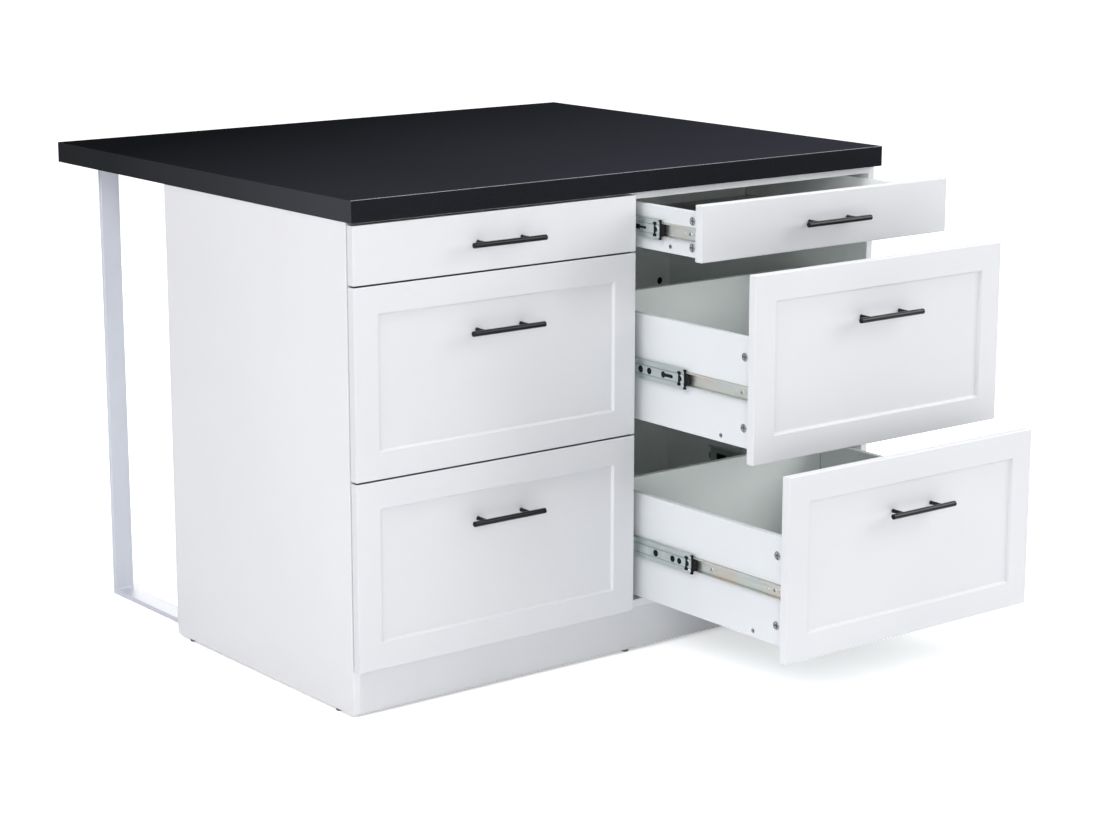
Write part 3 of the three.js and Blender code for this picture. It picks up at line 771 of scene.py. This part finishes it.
for column in columns:
    node = f"{column}_leg_loop"
    low, high = cadRange(node)
    middle = (low + high) / 2
    half, bar = (high[0] - low[0]) / 2, loopLook["bar"]
    # the bar's rounded section as (inset from the outline, place along X); each point draws one rectangle
    section = roundedLoop(bar, 2 * half, loopLook["edge"], hold=0.6) + [bar / 2, 0]
    rings = []
    for inset, across in section:
        size = (high - low)[1:] - 2 * inset
        loop = roundedLoop(*size, max(loopLook["corner"] - inset, 0.1), steps=3)
        rings.append(np.column_stack([np.full(len(loop), middle[0] + across), loop + middle[1:]]))
    shapes = [ringSurface(np.array(rings), capped=(False, False), closed=True)]
    # weld beads in the four inner corners, run along X. bead radius: full along its length, down to a
    # point at both ends, with small ripples
    stations = np.linspace(-1, 1, weldLook["stations"])
    ripple = 1 + weldLook["ripple"] * np.cos(stations * weldLook["ripples"])
    swell = weldLook["radius"] * (np.sqrt(np.clip(1 - np.abs(stations) ** 12, 0, 1)) * ripple)
    bead = np.stack([np.maximum(swell, weldLook["tip"]), stations * (half - weldLook["inset"])], -1)
    for y in (low[1] + bar, high[1] - bar):
        for z in (low[2] + bar, high[2] - bar):
            shapes.append(lathe(bead, (middle[0], y, z), 0, segments=14))
    addPiece(f"{node}_bar", shapes, "leg", "carcass", [node])
    ends = (low[1] + loopLook["screwInset"], high[1] - loopLook["screwInset"])
    places = [(x, y) for y in ends for x in (middle[0] - half / 2, middle[0] + half / 2)]
    heads = crossHeads(places, loopHead, 2, -1, high[2] - bar)
    addPiece(f"{node}_screws", heads, "screw", "carcass")

print("leg loops ready")

frontLook = {"edge": 1.3, "corner": 1.2, "frame": 48.0, "cove": 4.4, "recess": 5.0}


def panelProfile(depth):
    # from the flat of the back, round the outer edge to the face, then down a cove into the sunk panel
    outer = roundedEdge(depth, frontLook["edge"])[::-1]
    start, width, sunk = frontLook["frame"], frontLook["cove"], frontLook["recess"]
    share = np.linspace(0, 1, 9)
    # cove: half a cosine wave from the frame down to the panel
    cove = np.stack([start + width * share, sunk * (1 - np.cos(share * np.pi)) / 2], -1)
    flat = [[start - 1.5, 0], [start - 0.3, 0]]
    return np.concatenate([outer, flat, cove, [[start + width + 1.5, sunk]]])


for column, row in drawers:
    node = f"{column}_{row}_front"
    low, high = cadRange(node)
    depth = high[1] - low[1]
    profile = panelProfile(depth) if row != "top" else roundedEdge(depth, frontLook["edge"])
    shape = slab(low, high, corner=frontLook["corner"], axis=1, profile=profile, facing=-1)
    addPiece(f"{node}_foiled", [shape], "front", f"{column}_{row}_drawer", [node])

print("fronts ready")

handleLook = {"bar": 10.0, "post": 7.0, "spacing": 96.0, "round": 0.9, "hold": 0.6, "segments": 40}


def handleShapes(node):
    # a round bar turned about X with rounded ends, and two posts turned about Y
    low, high = cadRange(node)
    radius, edge, hold = handleLook["bar"] / 2, handleLook["round"], handleLook["hold"]
    middle = (low[0] + high[0]) / 2, low[1] + radius, (low[2] + high[2]) / 2
    half = (high[0] - low[0]) / 2
    rim = quarter(edge)
    end = np.stack([radius - rim[:, 0], rim[:, 1] - half], -1)
    start = np.concatenate([[[radius - edge - hold, -half]], end, [[radius, edge + hold - half]]])
    profile = np.concatenate([start, (start * [1, -1])[::-1]])
    shapes = [lathe(profile, middle, 0, handleLook["segments"])]
    # a post that flares a little where it meets the front
    foot, reach = handleLook["post"] / 2, high[1] - middle[1]
    post = [(foot, 0), (foot, reach - 1.2), (foot + 0.1, reach - 0.6), (foot + 0.5, reach)]
    for side in (-1, 1):
        place = middle[0] + side * handleLook["spacing"] / 2, middle[1], middle[2]
        shapes.append(lathe(post, place, 1, segments=28))
    return shapes


for column, row in drawers:
    node = f"{column}_{row}_handle"
    addPiece(f"{node}_bar", handleShapes(node), "handle", f"{column}_{row}_drawer", [node])

print("handles ready")

boxLook = {
    "board": 12.0,
    "camInset": {"bottom": 36.0, "middle": 36.0, "top": 17.0},  # from the upper and lower edges
    "camFromFront": 29.0,
    "pinFromFront": 89.0,
    "pinInset": 12.0,  # from the lower edge
}

runnerLook = {
    "sheet": 1.2,
    "gap": 12.7,  # from the carcass board to the drawer side
    "bite": 0.4,  # how far the drawer's channel sits into the side
    "lead": 4.0,  # from the front of the box to the drawer's channel
    "outerHalf": 22.5,
    "outerDeep": 9.6,
    "outerLip": 2.6,
    "middleHalf": 18.25,
    "middleWeb": 2.8,  # centre of the sheet, from the carcass board
    "middleBand": 2.2,
    "middleTip": 9.4,
    "middleLip": 1.6,
    "innerHalf": 12.0,
    "innerTip": 5.2,
    "bandHalf": 7.4,
    "groove": 0.9,
    "grooveHalf": 1.5,
    "bend": 1.3,
    "innerFlat": 9.0,
    "outerFlat": 15.5,
}
halfSheet = runnerLook["sheet"] / 2


def boxRange(name):
    # the box without its runner channels: as far in from each runner's board as the runners need
    low, high = cadRange(f"{name}_drawer_box")
    low[0] = cadRange(f"{name}_outer_runner_left")[0][0] + runnerLook["gap"]
    high[0] = cadRange(f"{name}_outer_runner_right")[1][0] - runnerLook["gap"]
    return low, high


def boxBoards(column, row):
    # two sides with pockets in their outer faces, and a back and a bottom between them
    low, high = boxRange(f"{column}_{row}")
    board, back = boxLook["board"], high[1]
    inset, cam = boxLook["camInset"][row], low[1] + boxLook["camFromFront"]
    camPlaces = [(cam, low[2] + inset), (cam, high[2] - inset)]
    pin = (low[1] + boxLook["pinFromFront"], low[2] + boxLook["pinInset"])
    drawer = f"{column}_{row}_drawer"
    node = f"{drawer}_box"
    holes = camPockets(camPlaces, pocketLook["camDepth"])
    holes.append((circle(pin, pocketLook["pin"], 20), pocketLook["pinDepth"]))
    locks, pins = [], []
    for side, facing, face in (("left", -1, low[0]), ("right", 1, high[0])):
        near, far = sorted((face, face - facing * board))
        sideLow, sideHigh = (near, low[1], low[2]), (far, back, high[2])
        shape = slab(sideLow, sideHigh, boardEdge, boardEdge, 0, facing=facing, pockets=holes)
        finish = f"drawer{side.capitalize()}"
        addPiece(f"{drawer}_{side}_side", [shape], finish, drawer, [node])
        locks += crossHeads(camPlaces, camHead, 0, facing, face)
        pins += crossHead(pin, pinHead, 0, facing, face)
    addPiece(f"{drawer}_cams", locks, "cam", drawer)
    addPiece(f"{drawer}_pins", pins, "screw", drawer)
    inner, outer = low[0] + board, high[0] - board
    # the drawer back takes the paler inside board and the bottom a paler board of its own: painted light
    boards = {
        "back": ((inner, back - board, low[2]), (outer, back, high[2]), "inner"),
        "bottom": ((inner, low[1], low[2]), (outer, back - board, low[2] + board), "drawerBottom"),
    }
    for place, (boardLow, boardHigh, finish) in boards.items():
        shape = slab(boardLow, boardHigh, boardEdge, boardEdge)
        addPiece(f"{drawer}_{place}", [shape], finish, drawer, [node])


for column, row in drawers:
    boxBoards(column, row)

print("drawer boxes ready")

# runners are drawn in (out from the carcass board, along Y from the front end, up from the middle)
outerHoles = {
    "width": 6.4,
    "round": [37.0, 128.0, 356.0],
    "slots": [62.0, 166.0, 290.0],
    "slotHalf": 4.0,
    "slotUp": 8.0,
    "slotWidth": 4.4,
}

middleHoles = {  # from the front end of the middle channel
    "bottom": {
        "cuts": [circle((33, 0), 10.0), circle((52, 0), 10.6), circle((100, 0), 11.6)],
        "dishes": [slot(33, 52, 0, 12.6), slot(86, 116, 0, 12.8), rectangle(127, 145, -5.4, 5.4)],
    },
    "middle": {
        "cuts": [keyhole(34, 57, 0, 5.4, 11.0), circle((97, 0), 10.8), circle((121, 0), 11.8)],
        "dishes": [slot(34, 57, 0, 12.8), slot(121, 128, 0, 13.2)],
    },
    "top": {
        "cuts": [
            [(38, -1.8), (55, -1.8), (55, -3.8), (74, -3.8), (74, 3.8), (55, 3.8), (55, 1.8), (38, 1.8)]
        ],
        "dishes": [rectangle(112, 127, -4.8, 4.8)],
    },
}
dishLook = {"rim": 0.5, "high": 0.35, "root": 0.1, "bevel": 0.12}
# black plates behind the holes of the middle channel: painted shadow
holeShadowLook = {"past": 0.8, "deep": (1.35, 1.55)}

innerMarks = {
    "screws": [29.0, 197.0, 404.0],
    "holes": [(-11.0, 3.8), (17.0, 6.0)],  # beside each screw: offset and width
}


def halfSections(line):
    # a bent sheet in the upper half, drawn half as thick as the web, and its mirror image below
    section = bentSheet(filleted(line, runnerLook["bend"]), halfSheet)
    return [section * [1, flip] for flip in (1, -1)]


def grooveDip(middle, height, towards):
    # a V of three points across a lip, groove deep in the middle
    half, dip = runnerLook["grooveHalf"], runnerLook["groove"]
    return [(middle - towards * half, height), (middle, height - dip), (middle + towards * half, height)]


def channelShapes(line, length, centre, half, holes):
    # the two bent halves of a channel, and the flat web between them with its holes
    web = plate(rectangle(0, length, -half, half), holes, centre - halfSheet, centre + halfSheet)
    return [*(extrusion(section, 0, length) for section in halfSections(line)), web]


def outerChannel(length):
    # from the web up, out along the edge and down the lip, carried along Y
    top, tip = runnerLook["outerHalf"] - halfSheet, runnerLook["outerDeep"] - halfSheet
    flat, lip = runnerLook["outerFlat"], runnerLook["outerHalf"] - runnerLook["outerLip"]
    line = [(halfSheet, flat), (halfSheet, top), (tip, top), (tip, lip)]
    reach, up, width = outerHoles["slotHalf"], outerHoles["slotUp"], outerHoles["slotWidth"]
    holes = [circle((y, 0), outerHoles["width"]) for y in outerHoles["round"]]
    holes += [slot(y - reach, y + reach, flip * up, width) for y in outerHoles["slots"] for flip in (1, -1)]
    return channelShapes(line, length, halfSheet, flat, holes)


def middleChannel(row, length):
    web, band, tip = runnerLook["middleWeb"], runnerLook["middleBand"], runnerLook["middleTip"]
    top = runnerLook["middleHalf"] - halfSheet
    flat = runnerLook["bandHalf"]
    # from the pressed band, over a small step to the web, round the ball groove and down the lip
    line = [(band, flat), (band, flat + 0.3), (web + 0.5, flat + 1.1), (web + 0.5, flat + 1.6)]
    line += [(web, flat + 2.1), (web, top), *grooveDip((web + tip) / 2, top, 1)]
    line += [(tip, top), (tip, runnerLook["middleHalf"] - runnerLook["middleLip"])]
    return channelShapes(line, length, band, flat, middleHoles[row]["cuts"])


def innerChannel(length):
    # from the web up, in over the ball groove to the edge, carried along Y
    web = runnerLook["gap"] + runnerLook["bite"] - halfSheet
    top = runnerLook["innerHalf"] - halfSheet
    tip, flat = runnerLook["innerTip"], runnerLook["innerFlat"]
    line = [(web, flat), (web, top), *grooveDip((web + tip) / 2, top, -1), (tip, top)]
    screws, marks = innerMarks["screws"], innerMarks["holes"]
    holes = [circle((y + offset, 0), width) for y in screws for offset, width in marks]
    return channelShapes(line, length, web, flat, holes)


# retainer: black plastic nose, rim and clip on the front end of the middle channel; y runs to the back
noseLook = {
    "standOut": 14.0,  # from the front of the CAD's middle runner, nose included, to its channel
    "face": [
        (0, 11.7), (-6.0, 11.7), (-8.4, 9.5), (-8.9, 5.5), (-7.6, 2.5), (-8.4, -2.0), (-8.0, -9.5),
        (-6.0, -11.7), (0, -11.7),
    ],
    "faceDeep": (2.5, 4.7),
    "core": rectangle(-8.2, 6.0, -9.3, 9.3),
    "coreDeep": (3.4, 8.6),
    "rim": [
        (0.6, -14.6), (2.6, -15.2), (3.0, -17.0), (1.8, -18.25), (-2.4, -18.25), (-3.0, -17.0),
        (-2.4, -13.0), (-2.4, 13.0), (-3.0, 17.0), (-2.4, 18.25), (1.8, 18.25), (3.0, 17.0), (2.6, 15.2),
        (0.6, 14.6),
    ],
    "rimDeep": (1.7, 5.0),
    "clip": [
        (10.0, -12.8), (14.4, -13.6), (18.4, -12.8), (18.8, -9.6), (16.4, -8.2), (16.0, 8.2), (18.8, 9.6),
        (18.4, 12.8), (14.4, 13.6), (10.0, 12.8), (9.4, 9.4), (11.4, 6.2), (8.4, 4.6), (6.0, 1.0),
        (6.8, -2.8), (10.6, -5.4), (9.4, -9.4),
    ],
    "clipDeep": (1.4, 2.6),
    "bevel": 0.35,
}

# the folded front edge of the window that the clip shows through, as a bright zigzag in the paler, glossier
# ball steel: a painted highlight
windowLook = {
    "line": [
        (5.6, -12.6), (6.6, -8.8), (8.0, -6.0), (4.6, -3.4), (4.2, 1.2), (5.6, 5.6), (8.2, 6.8), (6.6, 9.2),
        (5.6, 12.6),
    ],
    "thick": 0.9,
    "deep": (1.4, 2.4),
    "bevel": 0.2,
}

# rear stop: a tab bent out of the carcass channel's end carries an arm with a rubber pad
stopLook = {
    "inset": 0.5,  # from the channel's rear end
    "tab": 3.0,
    "root": 0.1,  # into the channel's web
    "arm": 25.0,
    "half": 6.5,
    "deep": (3.7, 5.0),
    "bevel": 0.2,
}
padLook = {"length": 27.0, "half": 7.4, "grip": 0.5, "under": 0.05, "over": 0.2, "bevel": 0.5}
cageLook = {"length": 150.0, "balls": 9, "outerBall": 3.9, "innerBall": 4.9, "strip": 0.7, "width": 3.0}


def retainer():
    # four flat outlines, each carried between two depths
    return [plate(noseLook[part], [], *noseLook[f"{part}Deep"]) for part in ("face", "core", "rim", "clip")]


def stopShapes(length):
    # (tab and arm, pad)
    end, (near, far), half = length - stopLook["inset"], stopLook["deep"], stopLook["half"]
    armFrom = end - stopLook["arm"]
    root = runnerLook["sheet"] - stopLook["root"]
    tab = plate(rectangle(end - stopLook["tab"], end, -half, half), [], root, far)
    arm = plate(rectangle(armFrom, end, -half, half), [], near, far)
    padEnds, half = (armFrom - padLook["length"], armFrom + padLook["grip"]), padLook["half"]
    pad = plate(rectangle(*padEnds, -half, half), [], near - padLook["under"], far + padLook["over"])
    return [tab, arm], [pad]


def ballRow(places, out, up, width):
    # low balls: rings of latitude whose radius and height are cos and sin of the angle
    profile = arc((0, 0), width / 2, np.linspace(-np.pi / 2, np.pi / 2, 6)[1:-1])
    return [lathe(profile, (out, place, up), 1, segments=8) for place in places]


def cageShapes(length):
    # (strips, balls): an outer pair at the back of the channel and an inner pair at its front
    out = (runnerLook["middleWeb"] + runnerLook["middleTip"]) / 2
    reach, half, thick = cageLook["length"], cageLook["width"] / 2, cageLook["strip"] / 2
    outerUp = runnerLook["outerHalf"] - runnerLook["sheet"] - cageLook["outerBall"] / 2
    innerUp = runnerLook["innerHalf"] - runnerLook["groove"] + cageLook["innerBall"] / 2
    rows = [(length - reach, outerUp, cageLook["outerBall"]), (0, innerUp, cageLook["innerBall"])]
    strips, balls = [], []
    for start, height, width in rows:
        places = start + (np.arange(cageLook["balls"]) + 0.5) * reach / cageLook["balls"]
        for up in (height, -height):
            section = rectangle(out - half, out + half, up - thick, up + thick)
            strips.append(extrusion(section, start, start + reach))
            balls += ballRow(places, out, up, width)
    return strips, balls


def makeRunner(column, row, side):
    # the left-hand runner's shapes; hands mirrors them on the right
    name = f"{column}_{row}"
    outerNode, middleNode = f"{name}_outer_runner_{side}", f"{name}_middle_runner_{side}"
    low, high = cadRange(outerNode)
    board = low[0] if hands[side] > 0 else high[0]
    level = (low[2] + high[2]) / 2
    length = high[1] - low[1]
    front = low[1]

    def add(label, shapes, finish, body, replaces=(), bevel=0):
        # front is the place along Y of the channel that is being built
        placed = [(points * [hands[side], 1, 1] + [board, front, level], faces) for points, faces in shapes]
        addPiece(label, placed, finish, body, replaces, bevel)

    add(f"{outerNode}_channel", outerChannel(length), "runner", "carcass", replaces=[outerNode])
    heads = crossHeads([(y, 0) for y in outerHoles["round"]], outerHead, 0, 1, runnerLook["sheet"])
    add(f"{outerNode}_screws", heads, "screw", "carcass")
    stop, pad = stopShapes(length)
    add(f"{outerNode}_stop", stop, "runner", "carcass", bevel=stopLook["bevel"])
    add(f"{outerNode}_bumper", pad, "plastic", "carcass", bevel=padLook["bevel"])

    low, high = cadRange(middleNode)
    front = low[1] + noseLook["standOut"]
    body = f"{name}_middle_runners"
    holes = middleHoles[row]
    add(f"{middleNode}_channel", middleChannel(row, high[1] - front), "runner", body, replaces=[middleNode])
    face = runnerLook["middleBand"] - halfSheet
    deep = face - dishLook["high"], face + dishLook["root"]
    rims = [plate(grown(dish, dishLook["rim"]), [dish], *deep) for dish in holes["dishes"]]
    add(f"{middleNode}_rims", rims, "runner", body, bevel=dishLook["bevel"])
    # black plates between the two channels, seen through the holes: painted shadow for the dark space
    # behind them
    hole_shadow = [plate(grown(cut, holeShadowLook["past"]), [], *holeShadowLook["deep"]) for cut in holes["cuts"]]
    add(f"{middleNode}_grease", hole_shadow, "plastic", body)
    lip = [plate(bentSheet(np.array(windowLook["line"]), windowLook["thick"]), [], *windowLook["deep"])]
    # painted highlight: the lip takes the ball steel, paler and glossier than the channel
    add(f"{middleNode}_window_lip", lip, "ball", body, bevel=windowLook["bevel"])
    bevel = noseLook["bevel"]
    add(f"{middleNode}_retainer", retainer(), "plastic", body, [middleNode], bevel)
    strips, balls = cageShapes(high[1] - front)
    add(f"{middleNode}_cages", strips, "runner", body, replaces=[middleNode])
    add(f"{middleNode}_balls", balls, "ball", body)

    # the drawer's channel is as long as the one on the carcass
    front = cadRange(f"{name}_drawer_box")[0][1] + runnerLook["lead"]
    body = f"{name}_drawer"
    add(f"{name}_drawer_channel_{side}", innerChannel(length), "runnerWarm", body)
    web = runnerLook["gap"] + runnerLook["bite"] - runnerLook["sheet"]
    heads = crossHeads([(y, 0) for y in innerMarks["screws"]], innerHead, 0, -1, web)
    add(f"{name}_channel_screws_{side}", heads, "screw", body)


for column, row in drawers:
    for side in hands:
        makeRunner(column, row, side)

print("runners ready")
